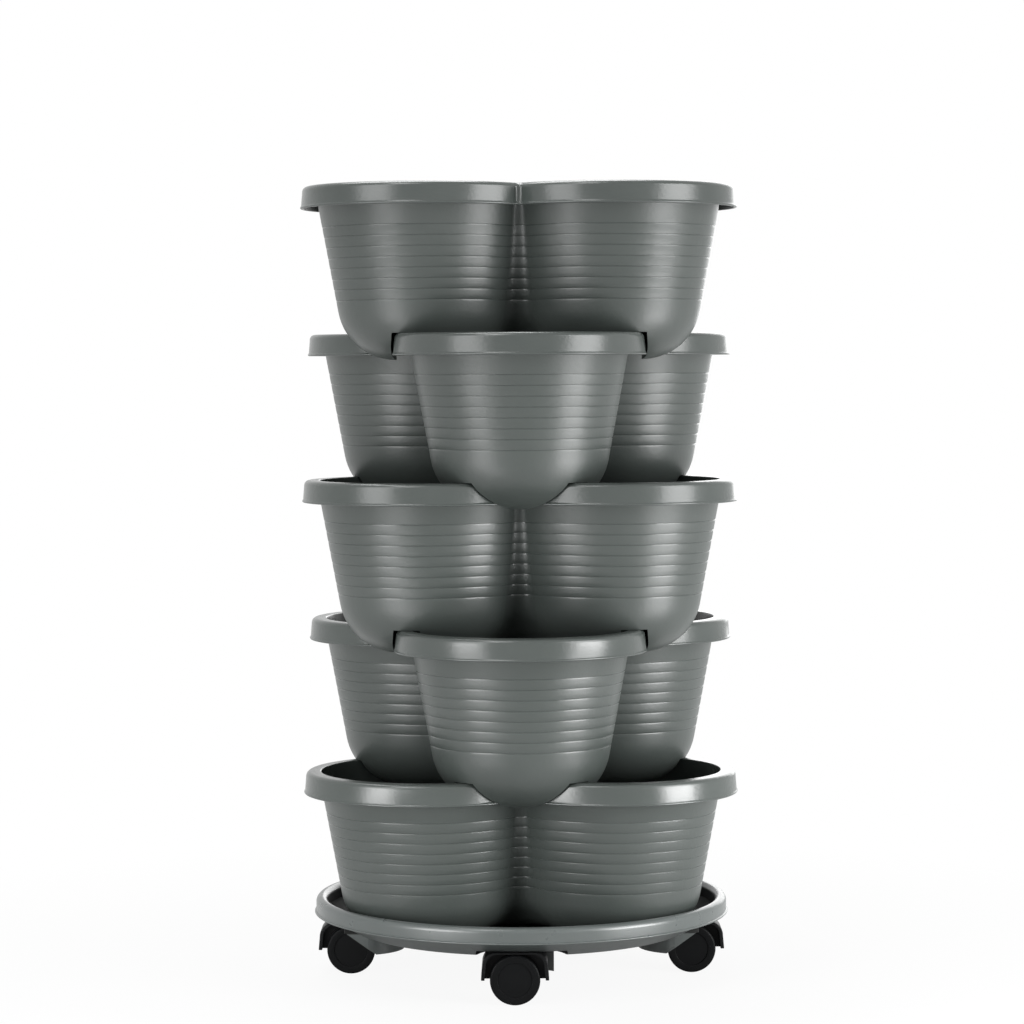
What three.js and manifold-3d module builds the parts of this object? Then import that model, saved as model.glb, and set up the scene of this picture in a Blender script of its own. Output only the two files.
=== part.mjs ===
// Vertical planter tower: five three-lobed pots, each turned half a lobe to the one below,
// on a round tray that rolls on four hooded twin-wheel casters.
// Millimetres, +Z up, origin on the floor under the tower's axis, front of the tower towards -Y.
import * as THREE from 'three';
import { mergeVertices } from 'three/addons/utils/BufferGeometryUtils.js';
import Module from 'manifold-3d';

const wasm = await Module();
wasm.setup();

// Counts
const lobeCount = 3;
const tierCount = 5;
const grooveCount = 8;
const trayRibCount = 6;

// Smoothness of the round forms
const halfLobeSteps = 4;
const creaseSteps = 2;
const roundingSteps = 3;
const innerRoundingSteps = 1;
const traySegments = 32;
const pocketSegments = 16;
const wheelSegments = 14;
const pinSegments = 8;
const holeSegments = 8;
const hoodSegments = 2;

// Fits
const seatGap = 0.3;
const cutOverrun = 1;

// Pot, heights from the floor of a pot that stands on another one
const lobeCentreRadius = 105;
const lobeWallRadius = 108.5;
const creaseRadius = 6;
const creaseOpeningShare = 0.5;
const leastCreaseReach = 92.5;
const tightestCreaseRadius = 5;
const potHeight = 169;
const potWall = 3;
const wallDraft = THREE.MathUtils.degToRad(10.5);
const bottomRounding = 40;
const lowestFloorRise = 13;
const drainHoleRadius = 4;
const drainHoleFromAxis = 84;

// Turned-over rim of a pot
const rimOverhang = 12;
const rimHeight = 21.5;
const rimFlare = 2;
const rimEdgeRounding = 4;
const rimWall = 2.8;

// Moulded steps round a pot's wall
const firstGrooveBelowRim = 39.5;
const groovePitch = 10.2;
const grooveDepth = 0.9;

// Nesting of one pot on the next
const nestDepth = 26;
const notchClearance = 1.2;
const notchWall = 2.6;

// Tray, heights from the floor
const trayMouthClearance = 5;
const trayRimTop = 78.5;
const trayRimHeight = 16;
const trayRimWidth = 9.6;
const trayRimLip = 0.8;
const trayRimRounding = 2.5;
const trayWall = 3;
const trayConeReach = 43;
const trayUnderside = 44;
const trayConeTop = 61.5;
const trayRibWidth = 3;
const trayRibInner = 22;
const trayRibOuter = 96;

// Caster wheels and axle
const wheelRadius = 24;
const wheelWidth = 10.5;
const wheelEdge = 1.7;
const wheelFaceRing = 5.5;
const wheelFaceRecess = 0.9;
const axleRadius = 2.5;
const axleEndCover = 2;

// Caster body: web between the wheels and the hood over them
const webWidth = 10;
const webBossRadius = 8;
const wheelSideGap = 0.7;
const hoodHalfLength = 32.5;
const hoodHeight = 26.8;
const hoodLean = 1.2;
const hoodCorner = 13;
const hoodRoof = 1.8;
const hoodEndWall = 3.4;
const hoodSideCover = 0.5;
const casterTrail = 6.5;

// Caster stem, the tray's socket for it and the pocket that the hood turns in
const casterInset = 43;
const stemRadius = 3;
const stemCollarRadius = 4.6;
const stemCollarHeight = 1.2;
const stemTop = 51.7;
const stemFoot = 30.5;
const socketRadius = 5.4;
const socketBottom = 44;
const pocketRadius = 44;
const pocketWall = 2.5;
const pocketCeiling = 51.1;
const pocketRoof = 2.4;
const skirtBottom = 24;
const skirtSlopeStart = -20;
const skirtSlope = 0.72;
const frontSkirtHalfWidth = 31;
const sideSkirtHalfWidth = 45;

// Colours
const potMaterial = () => new THREE.MeshStandardMaterial({ color: 0x5a5f5d, roughness: 0.42, metalness: 0 });
const trayMaterial = () => new THREE.MeshStandardMaterial({ color: 0x5d6260, roughness: 0.4, metalness: 0 });
const casterMaterial = () => new THREE.MeshStandardMaterial({ color: 0x17181a, roughness: 0.5, metalness: 0 });
const steelMaterial = () => new THREE.MeshStandardMaterial({ color: 0xb4b6b8, roughness: 0.3, metalness: 1 });

// Worked out from the sizes above; wallLine is the drafted wall's offset at a height
const halfLobe = Math.PI / lobeCount;
const tierPitch = potHeight - nestDepth;
const draftSlope = Math.tan(wallDraft);
const wallLine = (height) => -(potHeight - height) * draftSlope;
const potFloorHeight = pocketCeiling + pocketRoof + seatGap;
const potReachAtMouth = lobeCentreRadius + lobeWallRadius
  + wallLine(trayRimTop - potFloorHeight + lowestFloorRise);
const trayMouthRadius = potReachAtMouth + trayMouthClearance;
const trayConeRadius = trayMouthRadius + trayWall;
const trayRadius = trayConeRadius + trayRimWidth;
const trayBaseRadius = trayRadius - trayConeReach;
const casterCircleRadius = trayRadius - casterInset;
const axleHeight = wheelRadius;
const hoodHalfWidth = webWidth / 2 + wheelSideGap + wheelWidth + hoodSideCover;

// A closed three.js geometry as a solid that can be joined and cut
function solidOf(geometry) {
  const bare = geometry.clone();
  bare.deleteAttribute('normal');
  bare.deleteAttribute('uv');
  const merged = mergeVertices(bare);
  const index = merged.index.array;
  const triangles = [];
  for (let i = 0; i < index.length; i += 3) {
    const [a, b, c] = [index[i], index[i + 1], index[i + 2]];
    if (a !== b && b !== c && c !== a) triangles.push(a, b, c);
  }
  return new wasm.Manifold(new wasm.Mesh({
    numProp: 3,
    vertProperties: new Float32Array(merged.attributes.position.array),
    triVerts: new Uint32Array(triangles),
  }));
}

function geometryOf(solid) {
  const mesh = solid.getMesh();
  const geometry = new THREE.BufferGeometry();
  geometry.setAttribute('position', new THREE.BufferAttribute(new Float32Array(mesh.vertProperties), 3));
  geometry.setIndex(new THREE.BufferAttribute(new Uint32Array(mesh.triVerts), 1));
  geometry.computeVertexNormals();
  return geometry;
}

function joined(solids) {
  return solids.reduce((whole, piece) => whole.add(piece));
}

// A profile of [radius, height] points turned about Z
function turned(profile, segments) {
  const points = profile.map(([radius, height]) => new THREE.Vector2(radius, height));
  return new THREE.LatheGeometry(points, segments).rotateX(Math.PI / 2);
}

// A round bar about Z from one height to another
function bar(radius, bottom, top, segments) {
  return turned([[0, bottom], [radius, bottom], [radius, top], [0, top]], segments);
}

// The space of a round hole, its flats touching the true circle
function bore(radius, bottom, top, segments) {
  return bar(radius / Math.cos(Math.PI / segments), bottom, top, segments);
}

// A side view of [x, height] points, or a three.js shape, made as wide as given across Y
function sideExtrusion(outline, width) {
  const shape = outline instanceof THREE.Shape
    ? outline
    : new THREE.Shape(outline.map(([x, height]) => new THREE.Vector2(x, height)));
  const geometry = new THREE.ExtrudeGeometry(shape, { depth: width, bevelEnabled: false, curveSegments: hoodSegments });
  return geometry.translate(0, 0, -width / 2).rotateX(Math.PI / 2);
}

// Plan of a pot at a distance outside its wall line: round lobes joined by hollow creases
function lobedPlan(offset) {
  const lobe = lobeWallRadius + offset;
  const halfSpacing = lobeCentreRadius * Math.sin(halfLobe);
  const midway = lobeCentreRadius * Math.cos(halfLobe);
  const creaseThatReaches = Math.hypot(halfSpacing, leastCreaseReach - midway) - lobe;
  const opening = creaseRadius - offset * creaseOpeningShare;
  const crease = Math.max(opening, creaseThatReaches, tightestCreaseRadius);
  const creaseCentre = midway + Math.sqrt((lobe + crease) ** 2 - halfSpacing ** 2);
  const creaseX = creaseCentre * Math.cos(halfLobe);
  const creaseY = creaseCentre * Math.sin(halfLobe);
  const tangentAngle = Math.atan2(creaseY, creaseX - lobeCentreRadius);
  const lobeAngles = [];
  for (let i = -halfLobeSteps; i <= halfLobeSteps; i += 1) lobeAngles.push((tangentAngle * i) / halfLobeSteps);
  const points = [];
  for (let lobeIndex = 0; lobeIndex < lobeCount; lobeIndex += 1) {
    const turn = 2 * halfLobe * lobeIndex;
    const place = (x, y) => points.push(new THREE.Vector2(x, y).rotateAround(new THREE.Vector2(), turn));
    for (const angle of lobeAngles) {
      place(lobeCentreRadius + lobe * Math.cos(angle), lobe * Math.sin(angle));
    }
    const halfSweep = tangentAngle - halfLobe;
    for (let i = 1; i < creaseSteps; i += 1) {
      const angle = Math.PI + halfLobe + halfSweep * (1 - (2 * i) / creaseSteps);
      place(creaseX + crease * Math.cos(angle), creaseY + crease * Math.sin(angle));
    }
  }
  return points;
}

// Skin through lobed plans of [offset, height] rings; capped at both ends, or closed on itself
function lobedLoft(rings, closesOnItself = false) {
  const positions = [];
  const index = [];
  const plans = rings.map(([offset]) => lobedPlan(offset));
  const count = plans[0].length;
  plans.forEach((plan, ring) => plan.forEach((point) => positions.push(point.x, point.y, rings[ring][1])));
  const bands = closesOnItself ? rings.length : rings.length - 1;
  for (let ring = 0; ring < bands; ring += 1) {
    const lower = ring * count;
    const upper = ((ring + 1) % rings.length) * count;
    for (let i = 0; i < count; i += 1) {
      const next = (i + 1) % count;
      index.push(lower + i, lower + next, upper + next, lower + i, upper + next, upper + i);
    }
  }
  if (!closesOnItself) {
    const last = (rings.length - 1) * count;
    const firstCentre = rings.length * count;
    positions.push(0, 0, rings[0][1], 0, 0, rings[rings.length - 1][1]);
    for (let i = 0; i < count; i += 1) {
      const next = (i + 1) % count;
      index.push(firstCentre, next, i, firstCentre + 1, last + i, last + next);
    }
  }
  const geometry = new THREE.BufferGeometry();
  geometry.setAttribute('position', new THREE.BufferAttribute(new Float32Array(positions), 3));
  geometry.setIndex(index);
  return solidOf(geometry);
}

// Round turn from the flat floor at a height into the drafted wall; inset moves it into the pot
function bottomTurn(floor, inset, steps) {
  const centre = floor + bottomRounding;
  const centreOffset = wallLine(centre) - bottomRounding / Math.cos(wallDraft);
  const radius = bottomRounding - inset;
  const sweep = Math.PI / 2 - wallDraft;
  return Array.from({ length: steps + 1 }, (_, i) => {
    const angle = (sweep * i) / steps;
    return [centreOffset + radius * Math.sin(angle), centre - radius * Math.cos(angle)];
  });
}

// One wall step: the course above stands proud of the course below
function grooveRings() {
  const rings = [];
  for (let i = grooveCount - 1; i >= 0; i -= 1) {
    const height = potHeight - firstGrooveBelowRim - groovePitch * i;
    rings.push([wallLine(height) - grooveDepth, height], [wallLine(height), height]);
  }
  return rings;
}

function rimRings() {
  const underside = potHeight - rimWall;
  return [
    [wallLine(underside), underside],
    [rimOverhang - rimWall, underside],
    [rimOverhang + rimFlare - rimWall, potHeight - rimHeight],
    [rimOverhang + rimFlare, potHeight - rimHeight],
    [rimOverhang, potHeight - rimEdgeRounding],
    [rimOverhang - rimEdgeRounding, potHeight],
    [-potWall, potHeight],
  ];
}

// The lower pot's rim, seen from the pot that stands on it: where the notch lies under each lobe
const notchInner = -potWall - nestDepth * draftSlope - notchClearance;
const notchOuter = rimOverhang + rimFlare + notchClearance;
const notchTop = nestDepth + seatGap;

function notchBand(inner, outer, bottom, top) {
  const band = lobedLoft([[inner, bottom], [outer, bottom], [outer, top], [inner, top]], true);
  return band.rotate([0, 0, THREE.MathUtils.radToDeg(halfLobe)]);
}

function drainHoles(floor) {
  const hole = () => bore(drainHoleRadius, floor - cutOverrun, floor + potWall + cutOverrun, holeSegments);
  const underLobes = Array.from({ length: lobeCount }, (_, lobeIndex) => (
    hole().translate(drainHoleFromAxis, 0, 0).rotateZ(2 * halfLobe * lobeIndex)
  ));
  return joined([hole(), ...underLobes].map(solidOf));
}

// One pot with its first lobe towards +X; the lowest one is shallower and has no notches under its
// lobes, because it stands on the tray and not on another pot's rim
function potSolid(floor, standsOnRim) {
  const skin = lobedLoft([
    ...bottomTurn(floor, 0, roundingSteps),
    ...grooveRings(),
    ...rimRings(),
    ...bottomTurn(floor, potWall, innerRoundingSteps).reverse(),
  ]);
  const midWall = lobedLoft([
    ...bottomTurn(floor, potWall / 2, roundingSteps),
    [wallLine(floor + bottomRounding) - potWall / 2, floor + bottomRounding],
  ]);
  const drained = skin.subtract(drainHoles(floor));
  if (!standsOnRim) return drained;
  const ridge = notchBand(notchInner - notchWall, notchOuter + notchWall, floor, notchTop + notchWall);
  const notch = notchBand(notchInner, notchOuter, floor - cutOverrun, notchTop);
  return drained.add(ridge.intersect(midWall)).subtract(notch);
}

// Tray: dished saucer with a rolled rim
function trayProfile() {
  const bandInner = trayRadius - trayWall;
  return [
    [0, trayUnderside],
    [trayBaseRadius, trayUnderside],
    [trayConeRadius, trayConeTop],
    [trayConeRadius, trayRimTop - trayWall],
    [bandInner, trayRimTop - trayWall],
    [bandInner, trayRimTop - trayRimHeight],
    [trayRadius, trayRimTop - trayRimHeight],
    [trayRadius - trayRimLip, trayRimTop - trayRimRounding],
    [trayRadius - trayRimLip - trayRimRounding, trayRimTop],
    [trayMouthRadius, trayRimTop],
    [trayMouthRadius, trayConeTop + trayWall],
    [trayBaseRadius - trayWall, trayUnderside + trayWall],
    [0, trayUnderside + trayWall],
  ];
}

// Space under the tray's wall that a caster pocket may fill, up to the middle of that wall
function pocketSpace() {
  const coneSlope = (trayConeTop - trayUnderside) / (trayConeRadius - trayBaseRadius);
  const midWallAt = (radius) => trayUnderside + trayWall / 2 + (radius - trayBaseRadius) * coneSlope;
  const roofTop = pocketCeiling + pocketRoof;
  const outer = trayConeRadius - trayWall / 2;
  const roofEdge = trayBaseRadius + (roofTop - midWallAt(trayBaseRadius)) / coneSlope;
  return solidOf(turned([[0, 0], [outer, 0], [outer, midWallAt(outer)], [roofEdge, roofTop], [0, roofTop]], traySegments));
}

// Pocket over a caster with a skirt on its inner side, the skirt's lower edge rising outwards;
// the stem is at the origin and outwards is +X
function pocketShell(skirtHalfWidth) {
  const reach = pocketRadius + pocketWall;
  const slopeTop = skirtBottom + (reach - skirtSlopeStart) * skirtSlope;
  const skirtSide = sideExtrusion([
    [-reach - cutOverrun, skirtBottom],
    [skirtSlopeStart, skirtBottom],
    [reach, slopeTop],
    [reach, trayRimTop],
    [-reach - cutOverrun, trayRimTop],
  ], 2 * skirtHalfWidth);
  const aboveUnderside = bar(reach + cutOverrun, trayUnderside + trayWall / 2, trayRimTop, pocketSegments);
  return solidOf(bar(reach, 0, trayRimTop, pocketSegments))
    .intersect(solidOf(skirtSide).add(solidOf(aboveUnderside)));
}

const casters = [
  { name: 'front', around: -Math.PI / 2, heading: Math.PI, skirtHalfWidth: frontSkirtHalfWidth },
  { name: 'right', around: 0, heading: 0, skirtHalfWidth: sideSkirtHalfWidth },
  { name: 'back', around: Math.PI / 2, heading: 0, skirtHalfWidth: frontSkirtHalfWidth },
  { name: 'left', around: Math.PI, heading: Math.PI, skirtHalfWidth: sideSkirtHalfWidth },
];

function atCaster(solid, around) {
  return solid.translate([casterCircleRadius, 0, 0]).rotate([0, 0, THREE.MathUtils.radToDeg(around)]);
}

function traySolid() {
  const space = pocketSpace();
  const shells = casters.map(({ around, skirtHalfWidth }) => (
    atCaster(pocketShell(skirtHalfWidth), around).intersect(space)
  ));
  const ribs = Array.from({ length: trayRibCount }, (_, i) => {
    const ribTop = potFloorHeight - seatGap;
    const ribFoot = trayUnderside + trayWall / 2;
    const side = sideExtrusion([
      [trayRibInner, ribFoot], [trayRibOuter, ribFoot], [trayRibOuter, ribTop], [trayRibInner, ribTop],
    ], trayRibWidth);
    return solidOf(side.rotateZ((2 * Math.PI * (i + 1 / 2)) / trayRibCount));
  });
  const saucer = joined([solidOf(turned(trayProfile(), traySegments)), ...shells, ...ribs]);
  const pockets = casters.map(({ around }) => (
    atCaster(solidOf(bore(pocketRadius, -cutOverrun, pocketCeiling, pocketSegments)), around)
  ));
  const sockets = casters.map(({ around }) => (
    atCaster(solidOf(bar(socketRadius, socketBottom, pocketCeiling + pocketRoof / 2, pinSegments)), around)
  ));
  const stemHoles = casters.map(({ around }) => (
    atCaster(solidOf(bore(stemRadius + seatGap, socketBottom - cutOverrun, stemTop + seatGap, pinSegments)), around)
  ));
  return saucer.subtract(joined(pockets)).add(joined(sockets)).subtract(joined(stemHoles));
}

// Steel stem with a collar under the socket, the body turns on its lower end
function stemSolid() {
  const collarTop = socketBottom - seatGap;
  return solidOf(turned([
    [0, stemFoot],
    [stemRadius, stemFoot],
    [stemRadius, collarTop - stemCollarHeight],
    [stemCollarRadius, collarTop - stemCollarHeight],
    [stemCollarRadius, collarTop],
    [stemRadius, collarTop],
    [stemRadius, stemTop],
    [0, stemTop],
  ], pinSegments));
}

// Side view of the hood down to the axle: ends that lean in a little, and round top corners
function hoodShape(halfLength, height, corner) {
  const shoulder = axleHeight + height - corner;
  const topHalf = halfLength - hoodLean;
  const shape = new THREE.Shape();
  shape.moveTo(casterTrail + halfLength, axleHeight);
  shape.lineTo(casterTrail + topHalf, shoulder);
  shape.absarc(casterTrail + topHalf - corner, shoulder, corner, 0, Math.PI / 2, false);
  shape.absarc(casterTrail - topHalf + corner, shoulder, corner, Math.PI / 2, Math.PI, false);
  shape.lineTo(casterTrail - halfLength, axleHeight);
  return shape;
}

// Caster body, stem at the origin and the axle a trail away along +X: a hood cut out over each wheel,
// which leaves the web between them with its boss round the axle
function casterBodySolid() {
  const hood = hoodShape(hoodHalfLength, hoodHeight, hoodCorner);
  hood.absarc(casterTrail, axleHeight, webBossRadius, Math.PI, 2 * Math.PI, false);
  const innerHalfLength = hoodHalfLength - hoodEndWall;
  const wheelSpace = hoodShape(innerHalfLength, hoodHeight - hoodRoof, hoodCorner - hoodRoof);
  const below = axleHeight - webBossRadius - cutOverrun;
  wheelSpace.lineTo(casterTrail - innerHalfLength, below);
  wheelSpace.lineTo(casterTrail + innerHalfLength, below);
  const spaceWidth = hoodHalfWidth - webWidth / 2 + cutOverrun;
  const spaces = [1, -1].map((side) => solidOf(
    sideExtrusion(wheelSpace, spaceWidth).translate(0, (side * (webWidth + spaceWidth)) / 2, 0),
  ));
  const collarSpace = bore(socketRadius + seatGap, socketBottom - stemCollarHeight - 2 * seatGap,
    axleHeight + hoodHeight + cutOverrun, pinSegments);
  const stemBore = bore(stemRadius + seatGap, stemFoot - seatGap, socketBottom, pinSegments);
  const axleBore = bore(axleRadius + seatGap, -webWidth, webWidth, pinSegments).rotateX(Math.PI / 2)
    .translate(casterTrail, 0, axleHeight);
  return solidOf(sideExtrusion(hood, 2 * hoodHalfWidth))
    .subtract(joined([...spaces, ...[collarSpace, stemBore, axleBore].map(solidOf)]));
}

const wheelInnerFace = webWidth / 2 + wheelSideGap;
const axleHalfLength = wheelInnerFace + wheelWidth - axleEndCover;

// Wheel about Z with its inner face at zero; the tread's flats touch the true circle
function wheelSolid() {
  const tread = wheelRadius / Math.cos(Math.PI / wheelSegments);
  const ringInner = tread - wheelEdge - wheelFaceRing;
  const axleHole = (axleRadius + seatGap) / Math.cos(Math.PI / wheelSegments);
  const axleHoleEnd = wheelWidth - axleEndCover + seatGap;
  return solidOf(turned([
    [0, axleHoleEnd],
    [axleHole, axleHoleEnd],
    [axleHole, 0],
    [tread, 0],
    [tread, wheelWidth - wheelEdge],
    [tread - wheelEdge, wheelWidth],
    [ringInner, wheelWidth],
    [ringInner, wheelWidth - wheelFaceRecess],
    [0, wheelWidth - wheelFaceRecess],
  ], wheelSegments));
}

function mesh(name, geometry, material) {
  const piece = new THREE.Mesh(geometry, material);
  piece.name = name;
  return piece;
}

const tower = new THREE.Group();

tower.add(mesh('tray', geometryOf(traySolid()), trayMaterial()));

const lowestPotGeometry = geometryOf(potSolid(lowestFloorRise, false));
const stackedPotGeometry = geometryOf(potSolid(0, true));
for (let tier = 0; tier < tierCount; tier += 1) {
  const pot = mesh(`pot_tier_${tier + 1}`, tier === 0 ? lowestPotGeometry : stackedPotGeometry, potMaterial());
  pot.position.z = potFloorHeight - lowestFloorRise + tierPitch * tier;
  pot.rotation.z = Math.PI / 2 + halfLobe * tier;
  tower.add(pot);
}

const stemGeometry = geometryOf(stemSolid());
const casterBodyGeometry = geometryOf(casterBodySolid());
const axleGeometry = geometryOf(solidOf(bar(axleRadius, -axleHalfLength, axleHalfLength, pinSegments)));
const wheelGeometry = geometryOf(wheelSolid());
const flatDown = Math.PI / wheelSegments;

for (const { name, around, heading } of casters) {
  const place = new THREE.Group();
  place.position.set(casterCircleRadius * Math.cos(around), casterCircleRadius * Math.sin(around), 0);
  place.rotation.z = heading;
  place.add(mesh(`caster_${name}_stem`, stemGeometry, steelMaterial()));
  place.add(mesh(`caster_${name}_body`, casterBodyGeometry, casterMaterial()));
  const axle = mesh(`caster_${name}_axle`, axleGeometry, steelMaterial());
  axle.position.set(casterTrail, 0, axleHeight);
  axle.rotation.x = Math.PI / 2;
  place.add(axle);
  for (const side of [1, -1]) {
    const wheelName = side * Math.cos(heading) > 0 ? 'rear_wheel' : 'fore_wheel';
    const wheel = mesh(`caster_${name}_${wheelName}`, wheelGeometry, casterMaterial());
    wheel.position.set(casterTrail, side * wheelInnerFace, axleHeight);
    wheel.rotation.set(-side * Math.PI / 2, 0, flatDown);
    place.add(wheel);
  }
  tower.add(place);
}

export default tower;
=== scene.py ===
import math

import bpy
from mathutils import Matrix, Vector


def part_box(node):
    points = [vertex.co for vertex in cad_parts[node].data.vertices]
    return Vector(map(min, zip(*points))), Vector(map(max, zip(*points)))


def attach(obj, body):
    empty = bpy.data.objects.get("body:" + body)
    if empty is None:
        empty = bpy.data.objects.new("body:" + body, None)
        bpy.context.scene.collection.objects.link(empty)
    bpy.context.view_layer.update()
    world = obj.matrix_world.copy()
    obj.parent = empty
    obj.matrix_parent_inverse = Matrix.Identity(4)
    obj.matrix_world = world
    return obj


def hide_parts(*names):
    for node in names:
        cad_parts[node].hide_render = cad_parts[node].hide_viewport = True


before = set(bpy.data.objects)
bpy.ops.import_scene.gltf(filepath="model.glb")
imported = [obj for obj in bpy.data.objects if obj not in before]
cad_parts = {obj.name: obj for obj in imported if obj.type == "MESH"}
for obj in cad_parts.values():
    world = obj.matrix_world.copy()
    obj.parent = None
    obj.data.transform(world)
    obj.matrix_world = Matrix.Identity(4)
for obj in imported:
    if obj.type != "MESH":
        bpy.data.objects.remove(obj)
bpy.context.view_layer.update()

MM = 0.001

# Pots, heights from the floor of a pot that stands on another one
TIERS = 5
LOBES = 3
HALF_LOBE = math.pi / LOBES
LOBE_CENTRE_RADIUS = 105 * MM
LOBE_WALL_RADIUS = 108.5 * MM
CREASE_RADIUS = 6 * MM
CREASE_OPENING_SHARE = 0.5
LEAST_CREASE_REACH = 92.5 * MM
TIGHTEST_CREASE = 5 * MM
POT_WALL = 3 * MM
WALL_DRAFT = math.radians(10.5)
BOTTOM_ROUNDING = 57 * MM
LOWEST_BOTTOM_ROUNDING = 40 * MM
DRAIN_HOLE_RADIUS = 4 * MM
DRAIN_HOLE_FROM_AXIS = 84 * MM

# Rim
RIM_OVERHANG = 12 * MM
RIM_HEIGHT = 21.5 * MM
RIM_FLARE = 2 * MM
RIM_EDGE = 5 * MM
RIM_WALL = 2.8 * MM
RIM_LIP = 1.2 * MM
RIM_INNER_EDGE = 1.2 * MM
RIM_FOLD = 2.2 * MM

# Lip at the rim's foot: degrees that its round turns through and, in shares of its radius, how far it stands
# out from the band and where it eases into the band
LIP_TURN = (-90, 50)
LIP_STANDS_OUT = 0.8
LIP_EASE = ((0.25, 2.1), (0, 2.8))

# Moulded steps: a fine line under each course, above a shoulder that eases out downwards. The shape is given
# as millimetres above the line and shares of the depth.
GROOVES = 8
FIRST_GROOVE_BELOW_RIM = 39.5 * MM
GROOVE_PITCH = 10.2 * MM
GROOVE_DEPTH = 0.45 * MM
GROOVE_SHAPE = ((-5, 0), (-3.6, 0.03), (-2.4, 0.08), (-1.4, 0.17), (-0.7, 0.3), (-0.4, 0.45),
                (-0.25, 0.9), (-0.05, 1), (0.15, 0.9), (0.3, 0.2), (0.6, 0))

# Notches under the lobes
NEST_DEPTH = 26 * MM
NOTCH_CLEARANCE = 1.2 * MM
NOTCH_WALL = 2.6 * MM

# Gap between pieces that touch, and how far a cutting tool runs past what it cuts
SEAT_GAP = 0.3 * MM
OVERRUN = 1 * MM

# Tray, heights from the floor
TRAY_RIM_HEIGHT = 16 * MM
TRAY_RIM_WIDTH = 9.6 * MM
TRAY_WALL = 3 * MM
TRAY_CONE_REACH = 43 * MM
TRAY_UNDERSIDE = 44 * MM
TRAY_CONE_TOP = 61.5 * MM
TRAY_BASE_ROUNDING = 6 * MM
TRAY_RIBS = 6
TRAY_RIB_WIDTH = 3 * MM
TRAY_RIB_INNER = 22 * MM
TRAY_RIB_OUTER = 96 * MM

# Bead at the foot of the tray's roll: width, degrees that it turns through, and how many of its radii above
# its foot it has eased into the roll
TRAY_BEAD = 1.5 * MM
BEAD_TURN = (-90, 60)
BEAD_EASE = 2.6

# Painted shade in the tray, where its deep inside lies in shadow: colour, where it ends past the mouth, and
# from which lean of a face it lies on it
TRAY_PAINTED_SHADE = (0.006, 0.0065, 0.006)
PAINTED_SHADE_END = (1 * MM, 2 * MM)
PAINTED_SHADE_LEAN = (-0.3, -0.1)

# Caster pockets and sockets of the tray
SOCKET_RADIUS = 5.4 * MM
SOCKET_BOTTOM = 44 * MM
STEM_RADIUS = 3 * MM
STEM_TOP = 51.7 * MM
STEM_FOOT = 30.5 * MM
STEM_COLLAR_HEIGHT = 1.2 * MM
POCKET_RADIUS = 44 * MM
POCKET_WALL = 2.5 * MM
POCKET_REACH_INSIDE_TRAY = 26 * MM
POCKET_CEILING = 51.1 * MM
POCKET_ROOF = 2.4 * MM
SKIRT_BOTTOM = 24 * MM
SKIRT_SLOPE_START = -20 * MM
SKIRT_SLOPE = 0.72
FRONT_SKIRT_HALF_WIDTH = 31 * MM
SIDE_SKIRT_HALF_WIDTH = 45 * MM

# Casters: direction from the axis, heading, half width of the skirt beside each, and whether its pocket hugs
# the tray's cone
CASTERS = {
    "front": (-math.pi / 2, math.pi, FRONT_SKIRT_HALF_WIDTH, True),
    "right": (0, 0, SIDE_SKIRT_HALF_WIDTH, False),
    "back": (math.pi / 2, 0, FRONT_SKIRT_HALF_WIDTH, True),
    "left": (math.pi, math.pi, SIDE_SKIRT_HALF_WIDTH, False),
}
WHEEL_RADIUS = 24 * MM
WHEEL_WIDTH = 10.5 * MM
WHEEL_EDGE = 2 * MM
WHEEL_FACE_RING = 5.5 * MM
WHEEL_FACE_RECESS = 0.9 * MM
WHEEL_SOFT_EDGE = 0.4 * MM
AXLE_RADIUS = 2.5 * MM
AXLE_END_COVER = 2 * MM
WEB_WIDTH = 10 * MM
WEB_BOSS_RADIUS = 8 * MM
WHEEL_SIDE_GAP = 0.7 * MM
HOOD_HALF_LENGTH = 32.5 * MM
HOOD_HEIGHT = 26.8 * MM
HOOD_LEAN = 1.2 * MM
HOOD_CORNER = 13 * MM
HOOD_ROOF = 1.8 * MM
HOOD_END_WALL = 3.4 * MM
HOOD_SIDE_COVER = 0.5 * MM
HOOD_SOFT_EDGE = 0.8 * MM
HOOD_SHARP_ANGLE = math.radians(60)
CASTER_TRAIL = 6.5 * MM

# Smoothness: steps of each round, and the angle past which an edge stays sharp
LOBE_STEPS = 56
CREASE_STEPS = 20
ROUND_STEPS = 16
EDGE_STEPS = 8
RIM_EDGE_STEPS = 10
SMALL_EDGE_STEPS = 4
BEVEL_STEPS = 3
ROLL_STEPS = 24
BOSS_STEPS = 24
TURN_STEPS = 144
POCKET_STEPS = 72
WHEEL_STEPS = 72
WHEEL_BACK_STEPS = 6
PIN_STEPS = 32
SHARP_ANGLE = math.radians(32)

# Moulded plastic: scale to the metre and detail of each noise, and what it is spread over
NOISE_MIDDLE = (0.3, 0.7)
MOTTLING = (14, 4)
SCUFFS = (420, 2)
SCUFFED_FROM = (0.45, 0.7)
RUBBED_EDGE = (0.52, 0.6)
ROUGH_PATCHES = (60, 3)
PATCH_ROUGHNESS = (-0.01, 0.02)
WALL_LEAN = (-0.15, -0.03)
FLOW_WAVES = (22, 2)
FLOW_WAVE_HEIGHT = 0.3 * MM
CRINKLE = (240, 4)
FINE_GRAIN = (1300, 2)
FINE_GRAIN_SHARE = 0.2
PALE_SCUFF = (0.2, 0.21, 0.2)
DARK_SCUFF = (0.04, 0.04, 0.04)

# Turned steel
STEEL_COLOUR = (0.45, 0.45, 0.46)
STEEL_ROUGHNESS = 0.32
STEEL_ROUGHNESS_RANGE = (0.25, 0.42)
TURNING_LINES = (900, 2)
TURNING_LINE_STRENGTH = 0.3
TURNING_LINE_DEPTH = 0.05 * MM


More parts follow.
